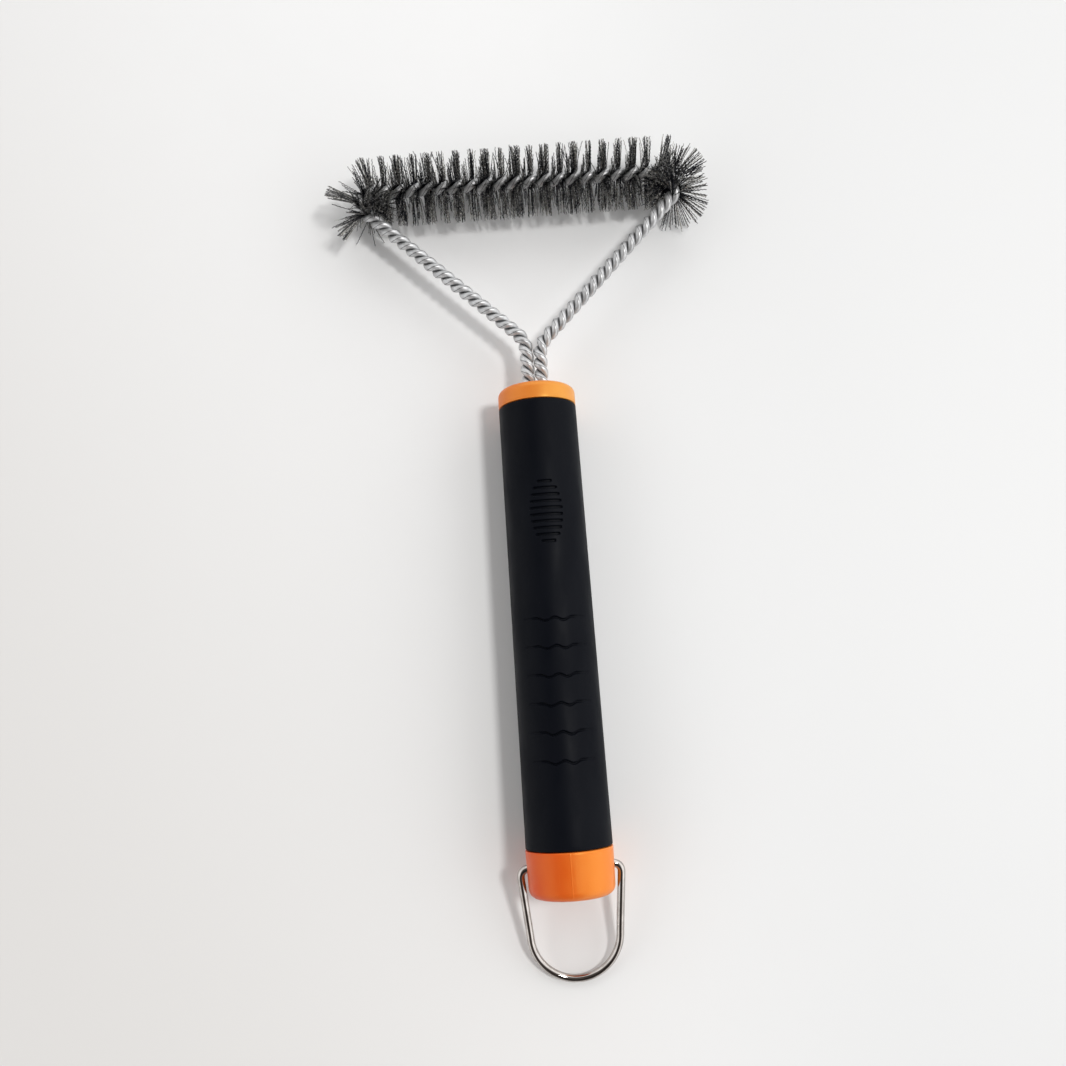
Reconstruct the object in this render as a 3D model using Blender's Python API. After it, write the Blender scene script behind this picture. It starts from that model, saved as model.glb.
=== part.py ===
"""Grill cleaning brush: a triangular twisted-wire head on a round handle with a swinging bail.

Metres, +Z up. The handle's axis is the Y axis, with the brush head at +Y. The origin is on that
axis at the flat end of the end cap.
"""

import math

import bmesh
import bpy
from mathutils import Vector

MM = 0.001
MERGE = 0.001 * MM
UP = Vector((0, 0, 1))

# Handle, from its flat end forwards. A gap is the clearance between two neighbouring solids.
GAP = 0.3 * MM
SEGMENTS = 48
COLLAR_LENGTH = 7.0 * MM
COLLAR_FILLET = 2.6 * MM
GRIP_LENGTH = 162.5 * MM
GRIP_FRONT_RADIUS = 14.7 * MM
GRIP_REAR_RADIUS = 15.6 * MM
CORE_RADIUS = 11.5 * MM
CORE_BORE_RADIUS = 9.0 * MM
CORE_FRONT_WALL = 6.0 * MM
CAP_LENGTH = 16.5 * MM
CAP_RIM_RADIUS = 15.75 * MM
CAP_END_RADIUS = 15.4 * MM
CAP_FILLET = 3.2 * MM
CAP_END_WALL = 2.6 * MM
SPIGOT_LENGTH = 14.0 * MM
SPIGOT_WALL = 2.0 * MM
CAP_RIM_Y = CAP_LENGTH
GRIP_FRONT_Y = CAP_RIM_Y + GRIP_LENGTH
FRONT_Y = GRIP_FRONT_Y + COLLAR_LENGTH

# Thumb pad: short cross slots that fill an ellipse on top of the grip.
PAD_CENTRE_Y = FRONT_Y - 49.9 * MM
PAD_HALF_LENGTH = 12.4 * MM
PAD_HALF_WIDTH = 6.3 * MM
PAD_SLOTS = 10
PAD_PITCH = 2.46 * MM
SLOT_WIDTH = 1.15 * MM
SLOT_DEPTH = 0.9 * MM

# Cross grooves with a wavy middle, further back on the grip.
WAVE_FIRST_Y = FRONT_Y - 88.6 * MM
WAVE_PITCH = 10.02 * MM
WAVES = 6
WAVE_HALF_ANGLE = math.radians(47)
WAVE_LENGTH = 6.6 * MM
WAVE_HEIGHT = 1.1 * MM
WAVE_WIDTH = 1.1 * MM
WAVE_DEPTH = 0.8 * MM

# Wire frame: two strands twisted into one rope, bent into a triangle with two stems.
STEM_X = 2.6 * MM
STEM_INSERTION = 22.0 * MM
LEFT_BEND_Y = FRONT_Y + 20.5 * MM
RIGHT_BEND_Y = FRONT_Y + 18.1 * MM
STEM_BEND_RADIUS = 11.0 * MM
LEFT_CORNER_X = -71.1 * MM
RIGHT_CORNER_X = 70.3 * MM
BAR_Y = FRONT_Y + 86.6 * MM
LEFT_CORNER_RADIUS = 4.5 * MM
RIGHT_CORNER_RADIUS = 6.2 * MM
STRAND_RADIUS = 1.27 * MM
STRAND_OFFSET = 1.42 * MM
STRAND_SIDES = 6
STEPS_PER_TURN = 8
BAR_PITCH = 11.62 * MM
LEFT_ARM_PITCH = 9.29 * MM
RIGHT_ARM_PITCH = 9.19 * MM
STEM_PITCH = 9.1 * MM

# Bristle tufts: one bunch for each half turn of the rope, held between its strands.
TUFTS = 25
TUFT_RADIUS = 13.9 * MM
TUFT_ROOT_RADIUS = 2.9 * MM
TUFT_CORNER_REACH = 3.5 * MM
TUFT_ARM_CLEARANCE = 6.4 * MM
TUFT_OFFSET = -1.5 * MM
TUFT_ROOT_HALF = 0.3 * MM
TUFT_TIP_HALF = 0.8 * MM
TUFT_ANGLES = (-60, -30, -8, 8, 30, 60)
TUFT_GATHER = 0.6
WEB_HALF_THICKNESS = 0.1 * MM
WEB_HALF_LENGTH = 0.25 * MM

# Anchor block that grips both stems inside the handle.
ANCHOR_RADIUS = CORE_BORE_RADIUS - GAP
ANCHOR_LENGTH = 24.0 * MM
STEM_HOLE_RADIUS = STRAND_OFFSET + STRAND_RADIUS + GAP

# Hanging bail: a bent wire whose ends turn in two side holes of the end cap.
PIVOT_Y = CAP_RIM_Y - 6.4 * MM
BAIL_WIRE_RADIUS = 1.4 * MM
BAIL_WIRE_SIDES = 10
BAIL_PIN_INNER_X = 11.0 * MM
BAIL_LEG_X = 18.0 * MM
BAIL_SHOULDER_X = 16.2 * MM
BAIL_BEND_RADIUS = 2.9 * MM
BAIL_SHOULDER = 26.0 * MM
BAIL_REACH = 43.8 * MM
BAIL_DROOP = math.radians(19)
PIVOT_HOLE_RADIUS = BAIL_WIRE_RADIUS + 0.25 * MM
PIVOT_HOLE_END_X = BAIL_PIN_INNER_X - 0.5 * MM


def clear_scene():
    for obj in list(bpy.data.objects):
        bpy.data.objects.remove(obj, do_unlink=True)


def material(name, colour, roughness, metallic=0.0):
    made = bpy.data.materials.new(name)
    made.use_nodes = True
    shader = made.node_tree.nodes["Principled BSDF"]
    shader.inputs["Base Color"].default_value = (*colour, 1.0)
    shader.inputs["Roughness"].default_value = roughness
    shader.inputs["Metallic"].default_value = metallic
    made.diffuse_color = (*colour, 1.0)
    return made


def add_object(name, points, faces, look=None, sharp_angle=40):
    """A mesh object in world coordinates, with its faces turned outwards."""
    mesh = bpy.data.meshes.new(name)
    mesh.from_pydata([tuple(p) for p in points], [], faces)
    cleaner = bmesh.new()
    cleaner.from_mesh(mesh)
    bmesh.ops.remove_doubles(cleaner, verts=cleaner.verts, dist=MERGE)
    bmesh.ops.recalc_face_normals(cleaner, faces=cleaner.faces)
    cleaner.to_mesh(mesh)
    cleaner.free()
    if look:
        mesh.materials.append(look)
    mesh.shade_smooth()
    mesh.set_sharp_from_angle(angle=math.radians(sharp_angle))
    obj = bpy.data.objects.new(name, mesh)
    bpy.context.scene.collection.objects.link(obj)
    return obj


def add_cutter(name, points, faces):
    cutter = add_object(name, points, faces)
    cutter.hide_render = True
    cutter.display_type = "WIRE"
    return cutter


def cut(obj, cutter):
    boolean = obj.modifiers.new(cutter.name, "BOOLEAN")
    boolean.operation = "DIFFERENCE"
    boolean.solver = "EXACT"
    boolean.object = cutter


def arc(centre, radius, start, end, steps):
    """Points (radius, y) of a profile arc; angles in degrees, 0 along the radius, 90 along +Y."""
    angles = [math.radians(start + (end - start) * i / steps) for i in range(steps + 1)]
    return [
        (centre[0] + radius * math.cos(a), centre[1] + radius * math.sin(a)) for a in angles
    ]


def turned(profile):
    """Points and faces of a closed profile of (radius, y) turned about the Y axis.

    Points of radius 0 fall together on the axis and are merged when the object is made.
    """
    count = len(profile)
    points = []
    for i in range(SEGMENTS):
        angle = 2 * math.pi * i / SEGMENTS
        points += [(r * math.cos(angle), y, r * math.sin(angle)) for r, y in profile]
    faces = []
    for i in range(SEGMENTS):
        here = i * count
        after = (i + 1) % SEGMENTS * count
        for j in range(count):
            k = (j + 1) % count
            faces.append((here + j, here + k, after + k, after + j))
    return points, faces


def swept(sections):
    """Points and faces of a closed tube through equal rings of points."""
    sides = len(sections[0])
    points = [p for ring in sections for p in ring]
    faces = []
    for i in range(len(sections) - 1):
        for j in range(sides):
            k = (j + 1) % sides
            faces.append((i * sides + j, i * sides + k, (i + 1) * sides + k, (i + 1) * sides + j))
    faces.append(tuple(reversed(range(sides))))
    faces.append(tuple(range(len(points) - sides, len(points))))
    return points, faces


class WirePath:
    """A flat path in the XY plane with rounded corners and a twist that adds up along it."""

    def __init__(self, corners, radii, pitches):
        """One radius for each inner corner; one twist pitch for each straight and each arc."""
        self.pieces = []
        headings = []
        for a, b in zip(corners, corners[1:]):
            headings.append(math.atan2(b[1] - a[1], b[0] - a[0]))
        turns = []
        for before, after in zip(headings, headings[1:]):
            turns.append((after - before + math.pi) % (2 * math.pi) - math.pi)
        trims = [0.0] + [r * math.tan(abs(t) / 2) for r, t in zip(radii, turns)] + [0.0]
        start = 0.0
        twist = 0.0
        point = Vector((*corners[0], 0))
        pitch = iter(pitches)
        for i, heading in enumerate(headings):
            span = math.dist(corners[i], corners[i + 1]) - trims[i] - trims[i + 1]
            bends = [(span, 0.0)]
            if i < len(turns):
                bends.append((radii[i] * abs(turns[i]), math.copysign(1 / radii[i], turns[i])))
            for length, curvature in bends:
                rate = -2 * math.pi / next(pitch)
                self.pieces.append((start, length, point, heading, curvature, rate, twist))
                point, heading = self.move(point, heading, curvature, length)
                start += length
                twist += rate * length
        self.length = start

    @staticmethod
    def move(point, heading, curvature, distance):
        if curvature == 0:
            ahead = Vector((math.cos(heading), math.sin(heading), 0))
            return point + ahead * distance, heading
        after = heading + curvature * distance
        side = Vector((math.sin(after) - math.sin(heading), math.cos(heading) - math.cos(after), 0))
        return point + side / curvature, after

    def at(self, distance):
        """Point, tangent, outward normal, curvature, twist rate and twist at a length along it."""
        piece = [p for p in self.pieces if p[0] <= distance][-1]
        start, _, point, heading, curvature, rate, twist = piece
        past = distance - start
        point, heading = self.move(point, heading, curvature, past)
        tangent = Vector((math.cos(heading), math.sin(heading), 0))
        return point, tangent, UP.cross(tangent), curvature, rate, twist + rate * past


def head_path():
    """The rope's centre line: left stem, left arm, bar, right arm, right stem."""
    inner_end = FRONT_Y - STEM_INSERTION
    corners = (
        (-STEM_X, inner_end),
        (-STEM_X, LEFT_BEND_Y),
        (LEFT_CORNER_X, BAR_Y),
        (RIGHT_CORNER_X, BAR_Y),
        (STEM_X, RIGHT_BEND_Y),
        (STEM_X, inner_end),
    )
    radii = (STEM_BEND_RADIUS, LEFT_CORNER_RADIUS, RIGHT_CORNER_RADIUS, STEM_BEND_RADIUS)
    stem = (STEM_PITCH, STEM_PITCH)
    pitches = (*stem, LEFT_ARM_PITCH, BAR_PITCH, BAR_PITCH, BAR_PITCH, RIGHT_ARM_PITCH, *stem)
    return WirePath(corners, radii, pitches)


def strand(name, path, phase, look):
    """One of the two wires: a hexagonal tube that winds round the rope's centre line."""
    turn = 2 * math.pi
    sections = []
    for start, length, _, _, _, rate, _ in path.pieces:
        steps = max(1, round(length * abs(rate) / turn * STEPS_PER_TURN))
        count = steps + 1 if start + length >= path.length - MERGE else steps
        for i in range(count):
            centre, tangent, normal, curvature, rate, twist = path.at(start + length * i / steps)
            angle = twist + phase
            outward = normal * math.cos(angle) + UP * math.sin(angle)
            sideways = UP * math.cos(angle) - normal * math.sin(angle)
            stretch = 1 - curvature * STRAND_OFFSET * math.cos(angle)
            along = (tangent * stretch + sideways * rate * STRAND_OFFSET).normalized()
            across = along.cross(outward).normalized()
            facing = across.cross(along)
            middle = centre + outward * STRAND_OFFSET
            ring = []
            for side in range(STRAND_SIDES):
                a = turn * (side + 0.5) / STRAND_SIDES
                ring.append(middle + (facing * math.cos(a) + across * math.sin(a)) * STRAND_RADIUS)
            sections.append(ring)
    points, faces = swept(sections)
    return add_object(name, points, faces, look, sharp_angle=70)


def inner_reach(centre):
    """How far a tuft reaches into the triangle: short off the bar, and clear of the arm beside it."""
    if abs(centre.y - BAR_Y) > MERGE:
        return TUFT_CORNER_REACH
    left_slope = (BAR_Y - LEFT_BEND_Y) / (-STEM_X - LEFT_CORNER_X)
    right_slope = (BAR_Y - RIGHT_BEND_Y) / (RIGHT_CORNER_X - STEM_X)
    to_left_arm = (centre.x - LEFT_CORNER_X) * left_slope
    to_right_arm = (RIGHT_CORNER_X - centre.x) * right_slope
    return min(TUFT_RADIUS, min(to_left_arm, to_right_arm) - TUFT_ARM_CLEARANCE)


def tuft(name, path, distance, look):
    """A bristle bunch: an outer and an inner fan, twisted like the rope and joined by a web."""
    centre, tangent, normal, _, rate, _ = path.at(distance)
    count = len(TUFT_ANGLES)
    gate = count // 2 - 1
    points = []
    faces = []
    for side, reach in ((1, TUFT_RADIUS), (-1, inner_reach(centre))):
        base = len(points)
        widening = (reach - TUFT_ROOT_RADIUS) / (TUFT_RADIUS - TUFT_ROOT_RADIUS)
        tip_half = TUFT_ROOT_HALF + (TUFT_TIP_HALF - TUFT_ROOT_HALF) * widening
        for degrees in TUFT_ANGLES:
            angle = math.radians(degrees)
            out = (normal * math.cos(angle) + UP * math.sin(angle)) * side
            middle = centre + tangent * TUFT_GATHER * angle / rate
            points.append(middle + out * TUFT_ROOT_RADIUS - tangent * TUFT_ROOT_HALF)
            points.append(middle + out * TUFT_ROOT_RADIUS + tangent * TUFT_ROOT_HALF)
            points.append(middle + out * reach + tangent * tip_half)
            points.append(middle + out * reach - tangent * tip_half)
        faces.append(tuple(range(base, base + 4)))
        faces.append(tuple(range(base + 4 * count - 4, base + 4 * count)))
        for j in range(count - 1):
            for edge in range(4):
                if j == gate and edge == 0:
                    continue
                a = base + 4 * j + edge
                b = base + 4 * j + (edge + 1) % 4
                faces.append((a, b, b + 4, a + 4))
    low = 4 * gate
    high = low + 4
    second = 4 * count
    outer_gate = (low, high, high + 1, low + 1)
    inner_gate = (second + high, second + low, second + low + 1, second + high + 1)
    middle_gate = tuple(range(len(points), len(points) + 4))
    for up, ahead in ((-1, -1), (1, -1), (1, 1), (-1, 1)):
        offset = UP * up * WEB_HALF_THICKNESS + tangent * ahead * WEB_HALF_LENGTH
        points.append(centre + offset)
    for first, other in ((outer_gate, middle_gate), (middle_gate, inner_gate)):
        for i in range(4):
            k = (i + 1) % 4
            faces.append((first[i], first[k], other[k], other[i]))
    return add_object(name, points, faces, look)


def half_turns_on(path, start, count):
    """Distance along the path at which the rope has made this many half turns since start."""
    distance = start + count * BAR_PITCH / 2
    _, _, _, _, rate, twist = path.at(distance)
    return distance + (path.at(start)[5] - count * math.pi - twist) / rate


def wire_head(wire_look, bristle_look):
    path = head_path()
    bar_start, _, bar_point = path.pieces[4][:3]
    tuft_zero = bar_start - bar_point.x + TUFT_OFFSET
    upright = math.pi / 2 - path.at(tuft_zero)[5]
    strand("wire_strand_a", path, upright, wire_look)
    strand("wire_strand_b", path, upright + math.pi, wire_look)
    for number in range(1, TUFTS + 1):
        distance = half_turns_on(path, tuft_zero, number - 1 - TUFTS // 2)
        tuft(f"bristle_tuft_{number:02d}", path, distance, bristle_look)


def obround_cutter(name, radius, half_span, start_y, end_y):
    """A prism along Y whose section is a slot lying along X."""
    steps = 12
    section = []
    for side in (1, -1):
        for i in range(steps + 1):
            angle = math.pi * (i / steps - 0.5)
            x = side * (half_span + radius * math.cos(angle))
            section.append((x, side * radius * math.sin(angle)))
    rings = [[(x, y, z) for x, z in section] for y in (start_y, end_y)]
    points, faces = swept(rings)
    return add_cutter(name, points, faces)


def handle_core(look):
    """Front collar and inner tube in one moulding, closed in front except for the stem slot."""
    front_corner = (GRIP_FRONT_RADIUS - COLLAR_FILLET, FRONT_Y - COLLAR_FILLET)
    rear_y = CAP_RIM_Y + GAP
    wall_y = FRONT_Y - CORE_FRONT_WALL
    profile = [(0, FRONT_Y)]
    profile += arc(front_corner, COLLAR_FILLET, 90, 0, 4)
    profile += [
        (GRIP_FRONT_RADIUS, GRIP_FRONT_Y),
        (CORE_RADIUS, GRIP_FRONT_Y),
        (CORE_RADIUS, rear_y),
        (CORE_BORE_RADIUS, rear_y),
        (CORE_BORE_RADIUS, wall_y),
        (0, wall_y),
    ]
    points, faces = turned(profile)
    core = add_object("handle_core", points, faces, look)
    cut(core, obround_cutter("core_slot", STEM_HOLE_RADIUS, STEM_X, wall_y - MM, FRONT_Y + MM))


def stem_anchor(look):
    front_y = FRONT_Y - CORE_FRONT_WALL - GAP
    rear_y = front_y - ANCHOR_LENGTH
    profile = [(0, front_y), (ANCHOR_RADIUS, front_y), (ANCHOR_RADIUS, rear_y), (0, rear_y)]
    points, faces = turned(profile)
    anchor = add_object("stem_anchor", points, faces, look)
    cut(anchor, obround_cutter("anchor_slot", STEM_HOLE_RADIUS, STEM_X, rear_y - MM, front_y + MM))


def grip_radius(y):
    share = (GRIP_FRONT_Y - y) / GRIP_LENGTH
    return GRIP_FRONT_RADIUS + (GRIP_REAR_RADIUS - GRIP_FRONT_RADIUS) * share


def bent_bar(centre_line, width, depth):
    """A square bar laid in the grip's surface along (angle from the top, y) points."""
    proud = 1.0 * MM
    rings = []
    for angle, y in centre_line:
        outer = grip_radius(y) + proud
        inner = grip_radius(y) - depth
        ring = []
        for radius, shift in ((inner, -1), (inner, 1), (outer, 1), (outer, -1)):
            shifted = y + shift * width / 2
            ring.append((radius * math.sin(angle), shifted, radius * math.cos(angle)))
        rings.append(ring)
    return swept(rings)


def pad_slot(index):
    """The centre line of one thumb pad slot, as long as the ellipse is wide there."""
    steps = 6
    offset = (index - (PAD_SLOTS - 1) / 2) * PAD_PITCH
    half = PAD_HALF_WIDTH * math.sqrt(1 - (offset / PAD_HALF_LENGTH) ** 2)
    y = PAD_CENTRE_Y - offset
    reach = half / grip_radius(y)
    return [(reach * (2 * i / steps - 1), y) for i in range(steps + 1)]


def wave_groove(index):
    """The centre line of one cross groove: straight ends and two dips beside the top."""
    steps = 24
    y = WAVE_FIRST_Y - index * WAVE_PITCH
    line = []
    for i in range(steps + 1):
        angle = WAVE_HALF_ANGLE * (2 * i / steps - 1)
        across = angle * grip_radius(y)
        dip = 0.0
        if abs(across) < WAVE_LENGTH:
            dip = WAVE_HEIGHT * (1 - math.cos(2 * math.pi * across / WAVE_LENGTH)) / 2
        line.append((angle, y - dip))
    return line


def grip_sleeve(look):
    """Soft sleeve moulded over the core, with the thumb pad and the wavy cross grooves."""
    front_y = GRIP_FRONT_Y - GAP
    rear_y = CAP_RIM_Y + GAP
    inner = CORE_RADIUS + GAP
    profile = [
        (inner, front_y),
        (grip_radius(front_y), front_y),
        (grip_radius(rear_y), rear_y),
        (inner, rear_y),
    ]
    points, faces = turned(profile)
    sleeve = add_object("grip_sleeve", points, faces, look)
    points = []
    faces = []
    bars = [bent_bar(pad_slot(i), SLOT_WIDTH, SLOT_DEPTH) for i in range(PAD_SLOTS)]
    bars += [bent_bar(wave_groove(i), WAVE_WIDTH, WAVE_DEPTH) for i in range(WAVES)]
    for bar_points, bar_faces in bars:
        base = len(points)
        points += bar_points
        faces += [tuple(base + v for v in face) for face in bar_faces]
    cut(sleeve, add_cutter("grip_cutters", points, faces))


def end_cap(look):
    """Hollow plug cap: a spigot in the core, a slightly proud rim, a flat end, two pivot holes."""
    hole_sides = 24
    spigot_radius = CORE_BORE_RADIUS - GAP
    hollow_radius = spigot_radius - SPIGOT_WALL
    spigot_y = CAP_RIM_Y + SPIGOT_LENGTH
    corner = (CAP_END_RADIUS - CAP_FILLET, CAP_FILLET)
    profile = [
        (0, CAP_END_WALL),
        (hollow_radius, CAP_END_WALL),
        (hollow_radius, spigot_y),
        (spigot_radius, spigot_y),
        (spigot_radius, CAP_RIM_Y),
        (CAP_RIM_RADIUS, CAP_RIM_Y),
    ]
    profile += arc(corner, CAP_FILLET, 0, -90, 4)
    profile += [(0, 0)]
    points, faces = turned(profile)
    cap = add_object("end_cap", points, faces, look)
    for name, side in (("left_pivot_hole", -1), ("right_pivot_hole", 1)):
        rings = []
        for x in (PIVOT_HOLE_END_X, CAP_RIM_RADIUS + MM):
            ring = []
            for i in range(hole_sides):
                angle = 2 * math.pi * i / hole_sides
                y = PIVOT_Y + PIVOT_HOLE_RADIUS * math.cos(angle)
                ring.append((side * x, y, PIVOT_HOLE_RADIUS * math.sin(angle)))
            rings.append(ring)
        points, faces = swept(rings)
        cut(cap, add_cutter(name, points, faces))


def bail_line():
    """The left half of the bail's centre line as (x, distance from the pivot axis, heading)."""
    bend_steps = 4
    round_steps = 10
    line = [(-BAIL_PIN_INNER_X, 0.0)]
    for i in range(bend_steps + 1):
        angle = math.pi / 2 * i / bend_steps
        x = -(BAIL_LEG_X - BAIL_BEND_RADIUS) - BAIL_BEND_RADIUS * math.sin(angle)
        line.append((x, BAIL_BEND_RADIUS * (1 - math.cos(angle))))
    rise = BAIL_REACH - BAIL_SHOULDER
    for i in range(round_steps + 1):
        angle = math.pi / 2 * i / round_steps
        x = -BAIL_SHOULDER_X * math.cos(angle)
        line.append((x, BAIL_SHOULDER + rise * math.sin(angle)))
    return line


def hanging_bail(look):
    """The bail, with its origin on the pivot axis and drooped until its far end is low."""
    left = bail_line()
    line = left + [(-x, v) for x, v in reversed(left[:-1])]
    rings = []
    for i, (x, v) in enumerate(line):
        before = line[max(i - 1, 0)]
        after = line[min(i + 1, len(line) - 1)]
        heading = Vector((after[0] - before[0], before[1] - after[1], 0)).normalized()
        across = UP.cross(heading)
        ring = []
        for side in range(BAIL_WIRE_SIDES):
            angle = 2 * math.pi * side / BAIL_WIRE_SIDES
            offset = across * math.cos(angle) + UP * math.sin(angle)
            ring.append(Vector((x, -v, 0)) + offset * BAIL_WIRE_RADIUS)
        rings.append(ring)
    points, faces = swept(rings)
    bail = add_object("hanging_bail", points, faces, look)
    bail.location = (0, PIVOT_Y, 0)
    bail.rotation_euler = (BAIL_DROOP, 0, 0)


def build():
    clear_scene()
    orange = material("orange_plastic", (0.84, 0.17, 0.02), 0.35)
    rubber = material("black_rubber", (0.012, 0.013, 0.015), 0.5)
    inner = material("grey_plastic", (0.30, 0.30, 0.31), 0.5)
    wire = material("galvanised_wire", (0.62, 0.62, 0.62), 0.35, 1.0)
    bristle = material("dark_steel_bristle", (0.08, 0.08, 0.085), 0.4, 0.9)
    chrome = material("bright_wire", (0.75, 0.75, 0.75), 0.12, 1.0)
    handle_core(orange)
    stem_anchor(inner)
    grip_sleeve(rubber)
    end_cap(orange)
    hanging_bail(chrome)
    wire_head(wire, bristle)


build()
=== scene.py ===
"""Looks of the grill cleaning brush, built round its CAD frame.

Metres, +Z up, in the frame's own axes: the handle lies along Y, with the brush head at +Y.
"""

import math

import bpy
import numpy as np
from mathutils import Matrix, Vector


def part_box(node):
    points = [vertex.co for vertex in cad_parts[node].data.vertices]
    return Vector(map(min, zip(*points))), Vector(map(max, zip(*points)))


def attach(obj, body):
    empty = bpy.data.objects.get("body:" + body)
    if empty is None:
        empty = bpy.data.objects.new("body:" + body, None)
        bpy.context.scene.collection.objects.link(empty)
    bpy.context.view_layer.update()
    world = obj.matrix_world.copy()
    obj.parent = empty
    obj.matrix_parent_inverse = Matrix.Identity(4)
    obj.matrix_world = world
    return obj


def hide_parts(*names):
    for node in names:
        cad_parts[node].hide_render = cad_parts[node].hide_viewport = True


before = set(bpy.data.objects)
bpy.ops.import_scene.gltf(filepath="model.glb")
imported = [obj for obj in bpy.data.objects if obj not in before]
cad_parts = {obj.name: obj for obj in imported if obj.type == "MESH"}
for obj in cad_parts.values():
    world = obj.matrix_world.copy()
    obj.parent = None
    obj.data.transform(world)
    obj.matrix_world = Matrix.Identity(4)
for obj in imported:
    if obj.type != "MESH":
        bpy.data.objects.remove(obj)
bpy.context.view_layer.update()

MM = 0.001
TURN = 2 * math.pi
UP = np.array((0.0, 0.0, 1.0))

# Handle, read from the CAD boxes.
GAP = 0.3 * MM
FRONT_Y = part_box("handle_core")[1].y
GRIP_REAR_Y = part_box("grip_sleeve")[0].y
GRIP_FRONT_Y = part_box("grip_sleeve")[1].y
CAP_RIM_Y = GRIP_REAR_Y - GAP
COLLAR_REAR_Y = GRIP_FRONT_Y + GAP
CAP_RIM_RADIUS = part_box("end_cap")[1].x
GRIP_FRONT_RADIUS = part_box("handle_core")[1].x
GRIP_REAR_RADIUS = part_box("grip_sleeve")[1].x
CAP_END_RADIUS = 15.4 * MM
CAP_FILLET = 3.2 * MM
CAP_END_WALL = 2.6 * MM
PARTING_RADIUS = 15.5 * MM
PARTING_HEIGHT = 0.07 * MM
PARTING_WIDTH = 0.16 * MM
CENTRE_HOLE = 0.01 * MM
COLLAR_FILLET = 2.6 * MM
CORE_RADIUS = 11.5 * MM
CORE_BORE_RADIUS = 9.0 * MM
CORE_FRONT_WALL = 6.0 * MM
SPIGOT_LENGTH = 14.0 * MM
SPIGOT_WALL = 2.0 * MM

# Grip pattern.
PATTERN_TURN = 0.6 / 15.3
PAD_CENTRE_Y = FRONT_Y - 49.9 * MM
PAD_HALF_LENGTH = 12.4 * MM
PAD_HALF_WIDTH = 6.3 * MM
PAD_SLOTS = 10
PAD_PITCH = 2.46 * MM
SLOT_WIDTH = 1.15 * MM
SLOT_DEPTH = 0.9 * MM
WAVE_FIRST_Y = FRONT_Y - 88.6 * MM
WAVE_PITCH = 10.02 * MM
WAVES = 6
WAVE_HALF_ANGLE = math.radians(47)
WAVE_LENGTH = 6.6 * MM
WAVE_HEIGHT = 1.1 * MM
WAVE_WIDTH = 1.1 * MM
WAVE_DEPTH = 0.8 * MM

# Wire frame.
MIDDLE_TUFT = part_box("bristle_tuft_13")
STEM_X = 2.6 * MM
STEM_INSERTION = 22.0 * MM
LEFT_BEND_Y = FRONT_Y + 20.5 * MM
RIGHT_BEND_Y = FRONT_Y + 18.1 * MM
STEM_BEND_RADIUS = 11.0 * MM
LEFT_CORNER_X = -71.1 * MM
RIGHT_CORNER_X = 70.3 * MM
BAR_Y = (MIDDLE_TUFT[0].y + MIDDLE_TUFT[1].y) / 2
LEFT_CORNER_RADIUS = 4.5 * MM
RIGHT_CORNER_RADIUS = 6.2 * MM
STRAND_RADIUS = 1.38 * MM
STRAND_OFFSET = 1.37 * MM
STRAND_SIDES = 18
STEPS_PER_TURN = 26
BAR_PITCH = 11.62 * MM
LEFT_ARM_PITCH = 9.29 * MM
RIGHT_ARM_PITCH = 9.19 * MM
STEM_PITCH = 9.1 * MM

# Bristles.
TUFTS = 25
TUFT_OFFSET = -1.5 * MM
TUFT_RADIUS = 13.9 * MM
FILAMENT_RADIUS = 0.155 * MM
FILAMENT_STEP = 0.2 * MM
FILAMENT_SIDES = 3
CRIMP_LENGTH = 1.55 * MM
CRIMP_HEIGHT = 0.11 * MM
DENSE_COUNT = 84
SPARSE_COUNT = 42
BEND_COUNT = 90
ROPE_CLEARANCE = 2.9 * MM
FREE_OF_ROPE = 4.0 * MM
BAR_TOLERANCE = 0.2 * MM

# How a side of a bunch fills its half turn: its width as a share of the half turn, how far the
# filaments keep their order along the rope (0 to 1), and how widely they splay.
BEND_OUTER = (0.9, 0.8, 0.09)
BEND_INNER = (1.0, 0.6, 0.28)
DENSE_OUTER = (0.6, 0.25, 0.035)
SPARSE_OUTER = (0.42, 0.25, 0.035)
DENSE_INNER = (1.0, 0.35, 0.04)
SPARSE_INNER = (0.95, 0.35, 0.04)
NARROW_AFTER = 3
NARROWING = 0.8

# Strays, and how filaments gather, curl and end.
STRAY_SHARE_LEFT = 0.12
STRAY_SHARE_RIGHT = 0.06
STRAY_WILDNESS = 3.5
MOST_LEAN = 0.4
CURL = 0.02
REACH_SPREAD = 0.02
SHORT_SHARE = 0.1
GATHER_START = 0.6 * MM
GATHER_END = 4.6 * MM
CRIMP_START = 1.0 * MM
CRIMP_END = 3.0 * MM
TIP_SHARE = 0.975

# How far some bunches near the bends lean along the rope, and how far they open (rise over run).
# Bunches are counted in half turns from the middle one, to the right.
TILT = {-12: 0.1, -10: -0.12, 10: 0.14, 12: 0.12}
FAN_OUT = {-12: 0.5, -11: 0.3, 11: 0.3, 12: 0.9}

# Bail.
PIVOT_Y = CAP_RIM_Y - 6.4 * MM
BAIL_WIRE_RADIUS = 1.4 * MM
BAIL_PIN_INNER_X = 11.0 * MM
BAIL_LEG_X = 18.0 * MM
BAIL_SHOULDER_X = 16.2 * MM
BAIL_BEND_RADIUS = 2.9 * MM
BAIL_SHOULDER = 26.0 * MM
BAIL_REACH = 43.8 * MM
BAIL_DROOP = math.radians(19)
PIVOT_HOLE_RADIUS = 1.65 * MM
PIVOT_HOLE_END_X = 10.5 * MM


def unit(vectors):
    return vectors / np.linalg.norm(vectors, axis=-1, keepdims=True)


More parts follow.
